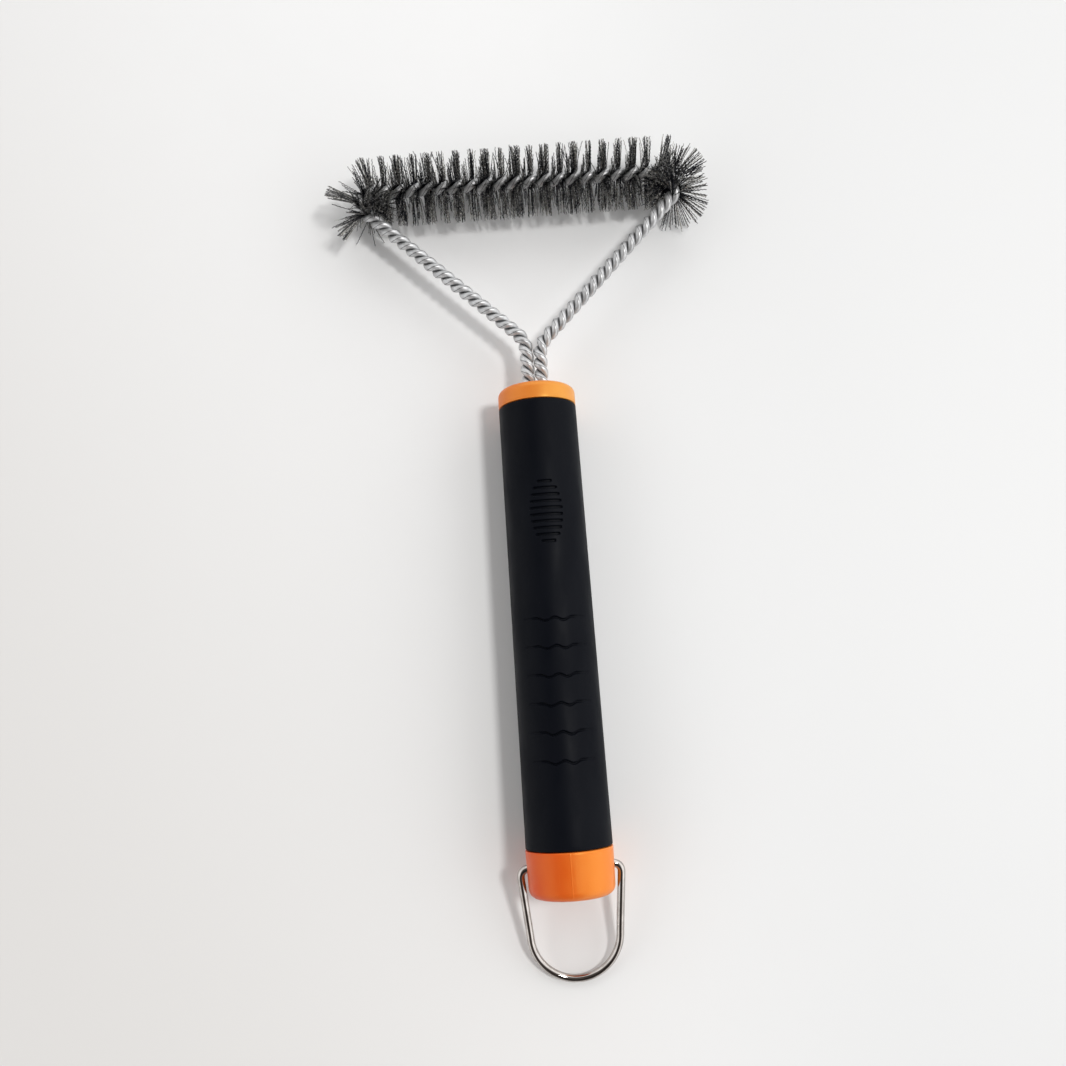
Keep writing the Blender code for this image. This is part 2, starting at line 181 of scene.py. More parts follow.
def smooth_step(values, low, high):
    share = np.clip((values - low) / (high - low), 0, 1)
    return share * share * (3 - 2 * share)


# ---------------------------------------------------------------- materials


class Look:
    """A node material in the making. Each method adds nodes and gives back an output socket."""

    def __init__(self, name):
        self.material = bpy.data.materials.new(name)
        self.material.use_nodes = True
        self.tree = self.material.node_tree
        self.shader = self.tree.nodes["Principled BSDF"]

    def feed(self, socket, value):
        if isinstance(value, bpy.types.NodeSocket):
            self.tree.links.new(value, socket)
        elif isinstance(value, tuple) and len(value) == 3 and socket.type == "RGBA":
            socket.default_value = (*value, 1.0)
        else:
            socket.default_value = value

    def node(self, kind, inputs, output=0, **settings):
        made = self.tree.nodes.new("ShaderNode" + kind)
        for key, value in settings.items():
            setattr(made, key, value)
        for key, value in inputs.items():
            self.feed(made.inputs[key], value)
        return made.outputs[output]

    def place(self, stretch=(1, 1, 1), attribute=None):
        """Coordinates for a texture: the object's own, or a point attribute of the mesh."""
        if attribute:
            source = self.node("Attribute", {}, 1, attribute_name=attribute)
        else:
            source = self.node("TexCoord", {}, 3)
        return self.node("Mapping", {0: source, 3: stretch}, vector_type="POINT")

    def noise(self, scale, detail=2.0, stretch=(1, 1, 1), attribute=None, distortion=0.0):
        where = self.place(stretch, attribute)
        inputs = {"Vector": where, "Scale": scale, "Detail": detail, "Distortion": distortion}
        return self.node("TexNoise", inputs)

    def ranged(self, value, low, high, to_low=0.0, to_high=1.0):
        """Takes value from low to high smoothly to to_low to to_high, and clamps it."""
        inputs = {0: value, 1: low, 2: high, 3: to_low, 4: to_high}
        return self.node("MapRange", inputs, interpolation_type="SMOOTHSTEP")

    def mix(self, factor, a, b):
        return self.node("Mix", {0: factor, 6: a, 7: b}, 2, data_type="RGBA")

    def math(self, operation, a, b):
        return self.node("Math", {0: a, 1: b}, operation=operation)

    def split(self, vector, axis):
        return self.node("SeparateXYZ", {0: vector}, axis)

    def bump(self, height, distance, strength=1.0, normal=None):
        inputs = {"Height": height, "Distance": distance, "Strength": strength}
        if normal is not None:
            inputs["Normal"] = normal
        return self.node("Bump", inputs)

    def finish(self, **inputs):
        for key, value in inputs.items():
            self.feed(self.shader.inputs[key.replace("_", " ").title().replace("Ior", "IOR")], value)
        return self.material


def orange_plastic(name, shaded_side, light):
    """Satin moulded plastic: painted light and shade, lighter and more amber towards +X where the lamp
    falls, cloudy, with faint scuffs and a fine grain.
    """
    look = Look(name)
    cloud = look.noise(55, 3)
    grain = look.noise(2600, 2)
    scuff = look.noise(900, 4, (1, 0.12, 1), distortion=0.4)
    # Painted light and shade: the colour runs from the darker colour at -X to the lighter, more amber
    # one at +X, the side the lamp lights.
    across = look.split(look.node("TexCoord", {}, 3), 0)
    colour = look.mix(look.ranged(across, -13 * MM, 13 * MM), shaded_side, light)
    colour = look.mix(look.ranged(cloud, 0.3, 0.7, 0, 0.2), colour, light)
    scuffs = look.ranged(scuff, 0.66, 0.8, 0, 0.22)
    colour = look.mix(scuffs, colour, (0.7, 0.26, 0.07))
    rough = look.ranged(look.noise(240, 3), 0.3, 0.75, 0.3, 0.44)
    normal = look.bump(grain, 0.03 * MM, 0.5)
    normal = look.bump(look.noise(300, 2), 0.05 * MM, 0.35, normal)
    return look.finish(
        base_color=colour,
        roughness=rough,
        normal=normal,
        specular_ior_level=0.85,
        specular_tint=(1.0, 0.8, 0.22),
        subsurface_weight=0.08,
        subsurface_radius=(1.0, 0.35, 0.1),
        subsurface_scale=1.2 * MM,
    )


def black_rubber():
    """Soft black rubber: blue-black, matt, with handling sheen and a little dust."""
    look = Look("grip_rubber")
    cloud = look.noise(45, 3)
    colour = look.mix(cloud, (0.0014, 0.002, 0.004), (0.0032, 0.004, 0.0066))
    dust = look.ranged(look.noise(2200, 1), 0.74, 0.8, 0, 0.2)
    colour = look.mix(dust, colour, (0.05, 0.052, 0.056))
    rough = look.ranged(look.noise(160, 4, (1, 0.35, 1)), 0.25, 0.75, 0.42, 0.6)
    normal = look.bump(look.noise(4200, 2), 0.02 * MM, 0.5)
    normal = look.bump(look.noise(240, 2), 0.06 * MM, 0.3, normal)
    return look.finish(
        base_color=colour, roughness=rough, normal=normal, specular_ior_level=0.06
    )


def galvanised_wire():
    """Zinc-coated wire: drawn lines along it, mottled zinc, and painted shade on the side of each
    strand that faces the other strand.
    """
    look = Look("galvanised_wire")
    lay = look.place((1, 1, 1), "lay")
    around = look.split(lay, 1)
    # Painted shade: the side of each strand that turns towards the rope's axis is darkened to near
    # black, reaching round to within 60 degrees of its outer face.
    painted_crevice_shade = look.ranged(look.math("COSINE", around, 0.0), -0.9, 0.5, 1, 0)
    spangle = look.node("TexVoronoi", {"Vector": look.place(), "Scale": 700.0}, 1)
    drawn = look.noise(1.0, 3, (120, 14, 1), "lay")
    cloud = look.noise(420, 3)
    colour = look.mix(look.ranged(cloud, 0.25, 0.75), (0.47, 0.475, 0.48), (0.64, 0.645, 0.65))
    colour = look.mix(look.math("MULTIPLY", look.split(spangle, 0), 0.22), colour, (0.25, 0.255, 0.26))
    colour = look.mix(look.math("MULTIPLY", painted_crevice_shade, 0.9), colour, (0.03, 0.03, 0.032))
    rough = look.ranged(drawn, 0.25, 0.75, 0.33, 0.48)
    normal = look.bump(drawn, 0.02 * MM, 0.6)
    normal = look.bump(look.noise(1500, 2), 0.02 * MM, 0.5, normal)
    return look.finish(base_color=colour, roughness=rough, normal=normal, metallic=0.6)


def bristle_steel():
    """Crimped dark steel: every filament its own grey, with painted shade and grime near the rope,
    brighter at the cut tips.
    """
    look = Look("bristle_steel")
    lay = look.place((1, 1, 1), "lay")
    own = look.split(lay, 1)
    tip = look.split(lay, 2)
    colour = look.mix(look.ranged(own, 0.4, 0.92), (0.016, 0.018, 0.025), (0.5, 0.49, 0.46))
    rust = look.ranged(look.noise(700, 2), 0.5, 0.8, 0, 0.6)
    colour = look.mix(rust, colour, (0.05, 0.045, 0.034))
    # Painted shade and grime: each filament darkens to blue-black within 6 mm of the rope's axis, deep
    # among the others.
    root = look.ranged(look.split(lay, 0), 1.5, 6.0, 0.9, 0.0)
    colour = look.mix(root, colour, (0.006, 0.008, 0.016))
    colour = look.mix(tip, colour, (0.3, 0.3, 0.3))
    rough = look.ranged(look.noise(900, 2), 0.3, 0.7, 0.18, 0.32)
    normal = look.bump(look.noise(3000, 1), 0.01 * MM, 0.4)
    return look.finish(base_color=colour, roughness=rough, normal=normal, metallic=0.9)


def chrome_wire():
    """Plated wire: bright, with faint drawing lines, hairline scratches and finger smears."""
    look = Look("bail_chrome")
    drawn = look.noise(1.0, 3, (60, 9, 1), "lay")
    smear = look.noise(260, 3)
    colour = look.mix(look.ranged(smear, 0.35, 0.75), (0.5, 0.465, 0.44), (0.36, 0.33, 0.31))
    scratch = look.ranged(look.noise(1.0, 2, (900, 3, 1), "lay"), 0.7, 0.8, 0, 0.5)
    colour = look.mix(scratch, colour, (0.3, 0.28, 0.265))
    rough = look.ranged(smear, 0.3, 0.75, 0.04, 0.12)
    normal = look.bump(drawn, 0.006 * MM, 0.4)
    return look.finish(base_color=colour, roughness=rough, normal=normal, metallic=1.0)


def inner_plastic():
    """Plain grey filled plastic, mottled, for the block that holds the stems."""
    look = Look("inner_plastic")
    colour = look.mix(look.noise(260, 4), (0.22, 0.22, 0.225), (0.34, 0.34, 0.34))
    rough = look.ranged(look.noise(500, 2), 0.3, 0.7, 0.42, 0.6)
    normal = look.bump(look.noise(1800, 2), 0.03 * MM, 0.5)
    return look.finish(base_color=colour, roughness=rough, normal=normal)


def table_top():
    """Pale satin board with painted shade: darker towards the near left, and darker on the right, by
    the bright wall.
    """
    look = Look("table_top")
    where = look.node("TexCoord", {}, 3)
    # Painted shade: the board darkens towards the near left.
    slope = look.math("ADD", look.split(where, 0), look.math("MULTIPLY", look.split(where, 1), 0.55))
    shade = look.ranged(slope, -0.24, 0.14)
    colour = look.mix(shade, (0.69, 0.68, 0.667), (0.81, 0.815, 0.817))
    # Painted shade on the right, the side the brighter wall lights most.
    painted_shade_right = look.ranged(look.split(where, 0), -0.03, 0.13)
    colour = look.mix(painted_shade_right, colour, (0.725, 0.732, 0.735))
    speck = look.ranged(look.noise(55, 5), 0.3, 0.7, 0, 0.05)
    colour = look.mix(speck, colour, (0.72, 0.71, 0.7))
    normal = look.bump(look.noise(500, 3), 0.02 * MM, 0.2)
    return look.finish(base_color=colour, roughness=0.55, normal=normal, specular_ior_level=0.3)


# ---------------------------------------------------------------- meshes


def mesh_object(name, points, face_groups, look, lay=None, sharp=None):
    """A mesh from points and arrays of faces, each array holding faces with one number of corners."""
    mesh = bpy.data.meshes.new(name)
    corners = np.concatenate([np.asarray(group).ravel() for group in face_groups])
    sizes = np.concatenate([np.full(len(g), np.shape(g)[1]) for g in face_groups])
    starts = np.concatenate([[0], np.cumsum(sizes)[:-1]])
    mesh.vertices.add(len(points))
    mesh.vertices.foreach_set("co", np.asarray(points, np.float32).ravel())
    mesh.loops.add(len(corners))
    mesh.loops.foreach_set("vertex_index", corners.astype(np.int32))
    mesh.polygons.add(len(sizes))
    mesh.polygons.foreach_set("loop_start", starts.astype(np.int32))
    if lay is not None:
        attribute = mesh.attributes.new("lay", "FLOAT_VECTOR", "POINT")
        attribute.data.foreach_set("vector", np.asarray(lay, np.float32).ravel())
    mesh.update(calc_edges=True)
    mesh.validate()
    mesh.shade_smooth()
    if sharp:
        mesh.set_sharp_from_angle(angle=math.radians(sharp))
    mesh.materials.append(look)
    obj = bpy.data.objects.new(name, mesh)
    bpy.context.scene.collection.objects.link(obj)
    return obj


def ring_quads(rings, sides, closed=False):
    """Faces between rings of points that follow one another; closed joins the last to the first."""
    last = rings if closed else rings - 1
    i = np.arange(last)[:, None]
    j = np.arange(sides)[None, :]
    after = (i + 1) % rings
    beside = (j + 1) % sides
    corners = (i * sides + j, i * sides + beside, after * sides + beside, after * sides + j)
    return np.stack(corners, axis=-1).reshape(-1, 4)


def tube(lines, reference, radius, sides):
    """Closed tubes along many lines at once, lines being (count, steps, 3)."""
    count, steps, _ = lines.shape
    tangent = unit(np.gradient(lines, axis=1))
    across = unit(np.cross(tangent, np.broadcast_to(reference, tangent.shape)))
    facing = np.cross(across, tangent)
    angles = TURN * np.arange(sides) / sides
    ring = np.cos(angles)[:, None] * facing[:, :, None] + np.sin(angles)[:, None] * across[:, :, None]
    radii = np.broadcast_to(radius, (count, steps))[:, :, None, None]
    points = lines[:, :, None] + ring * radii
    one = ring_quads(steps, sides)[:, ::-1]
    start = np.arange(sides)[None, :]
    end = (steps - 1) * sides + np.arange(sides)[None, ::-1]
    base = (np.arange(count) * steps * sides)[:, None, None]
    quads = (one[None] + base).reshape(-1, 4)
    ends = np.concatenate([(start[None] + base), (end[None] + base)]).reshape(-1, sides)
    return points.reshape(-1, 3), [quads, ends]


# ---------------------------------------------------------------- the rope


class RopePath:
    """A flat path in the XY plane with rounded corners, and the twist that adds up along it."""

    def __init__(self, corners, radii, pitches):
        corners = np.array(corners)
        legs = np.diff(corners, axis=0)
        headings = np.arctan2(legs[:, 1], legs[:, 0])
        turns = (np.diff(headings) + math.pi) % TURN - math.pi
        trims = np.concatenate([[0], np.array(radii) * np.tan(np.abs(turns) / 2), [0]])
        spans = np.hypot(legs[:, 0], legs[:, 1]) - trims[:-1] - trims[1:]
        pitch = iter(pitches)
        rows = []
        start = 0.0
        twist = 0.0
        x, y = corners[0]
        for i, heading in enumerate(headings):
            bends = [(spans[i], 0.0)]
            if i < len(turns):
                bends.append((radii[i] * abs(turns[i]), math.copysign(1 / radii[i], turns[i])))
            for length, curvature in bends:
                rate = -TURN / next(pitch)
                rows.append((start, x, y, heading, curvature, rate, twist))
                dx, dy, heading = self.move(heading, curvature, length)
                x += dx
                y += dy
                start += length
                twist += rate * length
        self.rows = np.array(rows)
        self.length = start

    @staticmethod
    def move(heading, curvature, past):
        safe = np.where(curvature == 0, 1.0, curvature)
        after = heading + curvature * past
        straight = curvature == 0
        dx = np.where(straight, past * np.cos(heading), (np.sin(after) - np.sin(heading)) / safe)
        dy = np.where(straight, past * np.sin(heading), (np.cos(heading) - np.cos(after)) / safe)
        return dx, dy, after

    def at(self, distance):
        """Point, tangent, outward normal, curvature, twist rate and twist at lengths along it."""
        distance = np.asarray(distance, float)
        index = np.searchsorted(self.rows[:, 0], distance, "right") - 1
        start, x, y, heading, curvature, rate, twist = self.rows[np.maximum(index, 0)].T
        past = distance - start
        dx, dy, after = self.move(heading, curvature, past)
        flat = np.zeros_like(after)
        point = np.stack([x + dx, y + dy, flat], axis=-1)
        tangent = np.stack([np.cos(after), np.sin(after), flat], axis=-1)
        normal = np.stack([-np.sin(after), np.cos(after), flat], axis=-1)
        return point, tangent, normal, curvature, rate, twist + rate * past


def head_path():
    inner_end = FRONT_Y - STEM_INSERTION
    corners = (
        (-STEM_X, inner_end),
        (-STEM_X, LEFT_BEND_Y),
        (LEFT_CORNER_X, BAR_Y),
        (RIGHT_CORNER_X, BAR_Y),
        (STEM_X, RIGHT_BEND_Y),
        (STEM_X, inner_end),
    )
    radii = (STEM_BEND_RADIUS, LEFT_CORNER_RADIUS, RIGHT_CORNER_RADIUS, STEM_BEND_RADIUS)
    stem = (STEM_PITCH, STEM_PITCH)
    pitches = (*stem, LEFT_ARM_PITCH, BAR_PITCH, BAR_PITCH, BAR_PITCH, RIGHT_ARM_PITCH, *stem)
    return RopePath(corners, radii, pitches)


def tuft_zero(path):
    """Distance along the path of the middle tuft."""
    return path.rows[4][0] - path.rows[4][1] + TUFT_OFFSET


def half_turns_on(path, start, count):
    """Distance along the path at which the rope has made this many half turns since start."""
    distance = start + count * BAR_PITCH / 2
    _, _, _, _, rate, twist = path.at(distance)
    return distance + (path.at(start)[5] - count * math.pi - twist) / rate


def strand(name, path, phase, look):
    steps = int(path.length / STEM_PITCH * STEPS_PER_TURN)
    along = np.linspace(0, path.length, steps)
    centre, tangent, normal, curvature, rate, twist = path.at(along)
    angle = (twist + phase)[:, None]
    outward = normal * np.cos(angle) + UP * np.sin(angle)
    sideways = UP * np.cos(angle) - normal * np.sin(angle)
    stretch = 1 - curvature[:, None] * STRAND_OFFSET * np.cos(angle)
    heading = unit(tangent * stretch + sideways * rate[:, None] * STRAND_OFFSET)
    across = unit(np.cross(heading, outward))
    facing = np.cross(across, heading)
    around = TURN * np.arange(STRAND_SIDES) / STRAND_SIDES
    rings = np.cos(around)[:, None] * facing[:, None] + np.sin(around)[:, None] * across[:, None]
    points = (centre + outward * STRAND_OFFSET)[:, None] + rings * STRAND_RADIUS
    quads = ring_quads(steps, STRAND_SIDES)
    first = np.arange(STRAND_SIDES)[None, ::-1]
    last = (steps - 1) * STRAND_SIDES + np.arange(STRAND_SIDES)[None]
    shape = points.shape[:2]
    lay = np.stack(
        [
            np.broadcast_to(along[:, None] / MM, shape),
            np.broadcast_to(around[None, :], shape),
            np.full(shape, phase),
        ],
        axis=-1,
    )
    return mesh_object(name, points.reshape(-1, 3), [quads, first, last], look, lay.reshape(-1, 3))


# ---------------------------------------------------------------- bristles


def side_shape(side, half_turns, in_bend):
    """Width, order and splay of one side of a bunch; the outer side is +1."""
    dense = half_turns % 2 == 0
    if in_bend:
        return BEND_OUTER if side > 0 else BEND_INNER
    if side < 0:
        return DENSE_INNER if dense else SPARSE_INNER
    width, order, splay = DENSE_OUTER if dense else SPARSE_OUTER
    if half_turns > NARROW_AFTER:
        width *= NARROWING
    return width, order, splay


def sway(r, part, pull, lean, curl):
    """How far the filaments stand aside at distance r from the rope's axis: along it, and across."""
    along = pull[:, None] * smooth_step(r, GATHER_START, GATHER_END)
    along = along + r * lean[0][:, None] + r * part * curl[0][:, None]
    across = r * lean[1][:, None] + r * part * curl[1][:, None]
    return along, across


def from_rope(axes, r, along, across):
    """Points at distance r from the rope's axis, moved aside along the rope and across."""
    centre, out, tangent, third = axes
    points = centre[:, None] + out[:, None] * r[..., None] + tangent[:, None] * along[..., None]
    return points + third[:, None] * across[..., None]


def bunch(name, number, path, rope_points, look):
    """One bunch: filaments that pass between the strands and stick out on both sides."""
    rng = np.random.default_rng(400 + number)
    half_turns = number - 1 - TUFTS // 2
    middle = float(half_turns_on(path, tuft_zero(path), half_turns))
    in_bend = abs(path.at(middle)[0][1] - BAR_Y) > BAR_TOLERANCE
    stray_share = STRAY_SHARE_LEFT if half_turns < 0 else STRAY_SHARE_RIGHT
    count = DENSE_COUNT if half_turns % 2 == 0 else SPARSE_COUNT
    if in_bend:
        count = BEND_COUNT
    spread = (np.arange(count) + rng.uniform(0.2, 0.8, count)) / count - 0.5
    root = middle + spread * BAR_PITCH / 2
    centre, tangent, normal, _, _, twist = path.at(root)
    angle = (twist - path.at(middle)[5])[:, None]
    own = rng.random(count)
    share = np.linspace(0.02, 1, int(TUFT_RADIUS / FILAMENT_STEP))
    lines = []
    lays = []
    for side in (1, -1):
        width, order, splay = side_shape(side, half_turns, in_bend)
        out = (normal * np.cos(angle) + UP * np.sin(angle)) * side
        axes = (centre, out, tangent, np.cross(tangent, out))
        reach = TUFT_RADIUS * (1 - np.abs(rng.normal(0, REACH_SPREAD, count)))
        short = rng.random(count) < SHORT_SHARE
        reach = np.where(short, reach * rng.uniform(0.75, 0.97, count), reach)
        wild = np.where(rng.random(count) < stray_share, STRAY_WILDNESS, 1.0)
        lean = np.clip(rng.normal(0, splay, (2, count)) * wild, -MOST_LEAN, MOST_LEAN)
        curl = rng.normal(0, CURL, (2, count)) * wild
        seat = order * spread + (1 - order) * rng.uniform(-0.5, 0.5, count)
        pull = middle + seat * width * BAR_PITCH / 2 - root
        # Filaments that point up or down aren't pulled over the strands.
        pull = pull * smooth_step(np.cos(angle[:, 0]), 0.15, 0.6)
        fan = FAN_OUT.get(half_turns, 0.0) * seat + TILT.get(half_turns, 0.0)
        lean[0] = lean[0] + side * fan

        # A filament that would run into another stretch of the rope is cut short there.
        r = share[None, :] * reach[:, None]
        along, across = sway(r, share, pull, lean, curl)
        probe = from_rope(axes, r, along, across)[:, ::4]
        gaps = np.linalg.norm(probe[:, :, None] - rope_points[None, None], axis=-1).min(axis=-1)
        blocked = (gaps < ROPE_CLEARANCE) & (r[:, ::4] > FREE_OF_ROPE)
        reach = np.minimum(reach, np.where(blocked, r[:, ::4], np.inf).min(axis=1))

        r = share[None, :] * reach[:, None]
        along, across = sway(r, r / TUFT_RADIUS, pull, lean, curl)
        phase = rng.uniform(0, TURN, count)[:, None]
        turn = rng.uniform(0, TURN, count)[:, None]
        wave_length = CRIMP_LENGTH * rng.uniform(0.9, 1.12, count)[:, None]
        wave = CRIMP_HEIGHT * np.sin(TURN * r / wave_length + phase)
        wave = wave * smooth_step(r, CRIMP_START, CRIMP_END)
        along = along + wave * np.cos(turn)
        across = across + wave * np.sin(turn)
        lines.append(from_rope(axes, r, along, across))
        tip = np.broadcast_to(smooth_step(share, TIP_SHARE, 1.0), r.shape)
        lays.append(np.stack([r / MM, np.broadcast_to(own[:, None], r.shape), tip], axis=-1))
    reference = np.concatenate([tangent, tangent])[:, None]
    points, faces = tube(np.concatenate(lines), reference, FILAMENT_RADIUS, FILAMENT_SIDES)
    lay = np.repeat(np.concatenate(lays).reshape(-1, 3), FILAMENT_SIDES, axis=0)
    return mesh_object(name, points, faces, look, lay)


# ---------------------------------------------------------------- handle


def lathe(rows, sides):
    """Points of rings round the Y axis; a row is (radius or radii, y or ys)."""
    angles = TURN * np.arange(sides) / sides
    points = []
    for radius, y in rows:
        radius = np.broadcast_to(radius, sides)
        y = np.broadcast_to(y, sides)
        points.append(np.stack([radius * np.cos(angles), y, radius * np.sin(angles)], axis=-1))
    return np.concatenate(points)


def arc(centre, radius, start, end, steps):
    angles = np.radians(np.linspace(start, end, steps + 1))
    return [(centre[0] + radius * math.cos(a), centre[1] + radius * math.sin(a)) for a in angles]


def stadium(radius, half_span, sides):
    """Distance from the centre to the edge of a slot that lies along X, at even angles."""
    angles = TURN * np.arange(sides) / sides
    x = np.abs(np.cos(angles))
    z = np.abs(np.sin(angles))
    flat = radius / np.maximum(z, 1e-9)
    root = np.sqrt(np.maximum(radius**2 - (half_span * z) ** 2, 0))
    return np.where(flat * x <= half_span, flat, half_span * x + root)


def handle_core(look):
    sides = 160
    hole = STRAND_OFFSET + STRAND_RADIUS + 0.35 * MM
    edge = 0.45 * MM
    wall_y = FRONT_Y - CORE_FRONT_WALL
    face_radius = GRIP_FRONT_RADIUS - COLLAR_FILLET
    rows = [(stadium(hole, STEM_X, sides), wall_y)]
    for radius, y in arc((edge, -edge), edge, 180, 90, 4):
        rows.append((stadium(hole, STEM_X, sides) + radius, FRONT_Y + y))
    for share in (0.25, 0.5, 0.75):
        slot_edge = stadium(hole, STEM_X, sides) + edge
        rows.append((slot_edge + (face_radius - slot_edge) * share, FRONT_Y))
    rows += arc((face_radius, FRONT_Y - COLLAR_FILLET), COLLAR_FILLET, 90, 0, 12)
    rows += [(GRIP_FRONT_RADIUS, FRONT_Y - COLLAR_FILLET - i * MM) for i in (1, 2, 3)]
    lip = (GRIP_FRONT_RADIUS - 0.25 * MM, COLLAR_REAR_Y + 0.25 * MM)
    rows += arc(lip, 0.25 * MM, 0, -90, 4)
    rows += [
        (CORE_RADIUS, COLLAR_REAR_Y),
        (CORE_RADIUS, GRIP_REAR_Y),
        (CORE_BORE_RADIUS, GRIP_REAR_Y),
        (CORE_BORE_RADIUS, wall_y),
    ]
    points = lathe(rows, sides)
    return mesh_object(
        "collar_and_core", points, [ring_quads(len(rows), sides, True)], look, sharp=35
    )


def grip_radius(y):
    share = (GRIP_FRONT_Y - y) / (GRIP_FRONT_Y - GRIP_REAR_Y)
    return GRIP_FRONT_RADIUS + (GRIP_REAR_RADIUS - GRIP_FRONT_RADIUS) * share


def groove_depth(distance, half_width, depth, soft):
    """A groove with rounded walls: 0 outside half_width, depth well inside it."""
    return depth * smooth_step(half_width - distance, 0, soft)


def grip_sleeve(look):
    """The sleeve as a fine grid whose rows follow the grooves, cut by slots and waves."""
    fine = np.radians(np.arange(-64, 64.1, 1.0))
    coarse = np.radians(np.arange(68, 296, 4.0))
    theta = np.concatenate([fine, coarse])
    sides = len(theta)
    across = theta - PATTERN_TURN
    across = (across + math.pi) % TURN - math.pi

    wave_rows = WAVE_FIRST_Y - WAVE_PITCH * np.arange(WAVES)
    slot_rows = PAD_CENTRE_Y - (np.arange(PAD_SLOTS) - (PAD_SLOTS - 1) / 2) * PAD_PITCH
    half = np.array([0.15, 0.3, 0.4, 0.5, 0.62, 0.8, 1.1]) * MM
    near = np.concatenate([-half[::-1], [0], half])
    rows = [np.arange(GRIP_REAR_Y + 2 * MM, GRIP_FRONT_Y - 1 * MM, 2.4 * MM)]
    for centre in np.concatenate([wave_rows, slot_rows]):
        rows.append(centre + near)
    rows = np.sort(np.concatenate(rows))
    keep = np.concatenate([[True], np.diff(rows) > 0.06 * MM])
    rows = rows[keep]

    arc_length = across[None, :] * grip_radius(rows)[:, None]
    dip = np.where(
        np.abs(arc_length) < WAVE_LENGTH,
        WAVE_HEIGHT * (1 - np.cos(TURN * arc_length / WAVE_LENGTH)) / 2,
        0.0,
    )
    to_wave = np.abs(rows[:, None] - wave_rows[None, :]).min(axis=1)[:, None]
    follow = 1 - smooth_step(to_wave, 1.3 * MM, 3.6 * MM)
    y = rows[:, None] - dip * follow
    depth = np.zeros_like(y)
    fade = 1 - smooth_step(np.abs(across), WAVE_HALF_ANGLE - 0.1, WAVE_HALF_ANGLE)
    strong = 0.35 + 0.65 * (1 - smooth_step(np.abs(arc_length), 7 * MM, 9 * MM))
    depth += groove_depth(to_wave, WAVE_WIDTH / 2, WAVE_DEPTH, 0.32 * MM) * fade * strong
    for i, row in enumerate(slot_rows):
        offset = (i - (PAD_SLOTS - 1) / 2) * PAD_PITCH
        half_slot = PAD_HALF_WIDTH * math.sqrt(1 - (offset / PAD_HALF_LENGTH) ** 2)
        past_end = np.maximum(np.abs(arc_length) - (half_slot - SLOT_WIDTH / 2), 0)
        distance = np.hypot(past_end, rows[:, None] - row)
        depth += groove_depth(distance, SLOT_WIDTH / 2, SLOT_DEPTH, 0.3 * MM)
    radius = grip_radius(y) - depth
    outer = np.stack([radius * np.sin(theta), y, radius * np.cos(theta)], axis=-1)

    def plain(r, row_y):
        ring_y = np.full(sides, row_y)
        return np.stack([r * np.sin(theta), ring_y, r * np.cos(theta)], axis=-1)[None]

    soft = 0.35 * MM
    inner = CORE_RADIUS + GAP
    rear = [(inner, GRIP_REAR_Y)]
    rear += [
        (r, GRIP_REAR_Y + d)
        for r, d in arc((grip_radius(GRIP_REAR_Y) - soft, soft), soft, -90, 0, 4)
    ]
    front = [
        (r, GRIP_FRONT_Y + d)
        for r, d in arc((grip_radius(GRIP_FRONT_Y) - soft, -soft), soft, 0, 90, 4)
    ]
    front += [(inner, GRIP_FRONT_Y)]
    grid = [plain(r, v) for r, v in rear] + [outer] + [plain(r, v) for r, v in front]
    points = np.concatenate(grid)
    quads = ring_quads(len(points), sides, True)
    return mesh_object("grip", points.reshape(-1, 3), [quads], look, sharp=50)


def cut_pivot_hole(cap, side, look):
    """Cuts a round hole along X into the cap's side; side is -1 or 1."""
    steps = 32
    a = TURN * np.arange(steps) / steps
    rings = []
    for x in (PIVOT_HOLE_END_X, CAP_RIM_RADIUS + MM):
        y = PIVOT_Y + PIVOT_HOLE_RADIUS * np.cos(a)
        z = PIVOT_HOLE_RADIUS * np.sin(a)
        rings.append(np.stack([np.full(steps, side * x), y, z], axis=-1))
    groups = [ring_quads(2, steps), np.arange(steps)[None, ::-1], steps + np.arange(steps)[None]]
    if side < 0:
        groups = [group[:, ::-1] for group in groups]
    cutter = mesh_object("pivot_cutter", np.concatenate(rings), groups, look)
    boolean = cap.modifiers.new("pivot_hole", "BOOLEAN")
    boolean.object = cutter
    boolean.operation = "DIFFERENCE"
    boolean.solver = "EXACT"
    graph = bpy.context.evaluated_depsgraph_get()
    made = bpy.data.meshes.new_from_object(cap.evaluated_get(graph))
    cap.modifiers.clear()
    cap.data = made
    bpy.data.objects.remove(cutter)


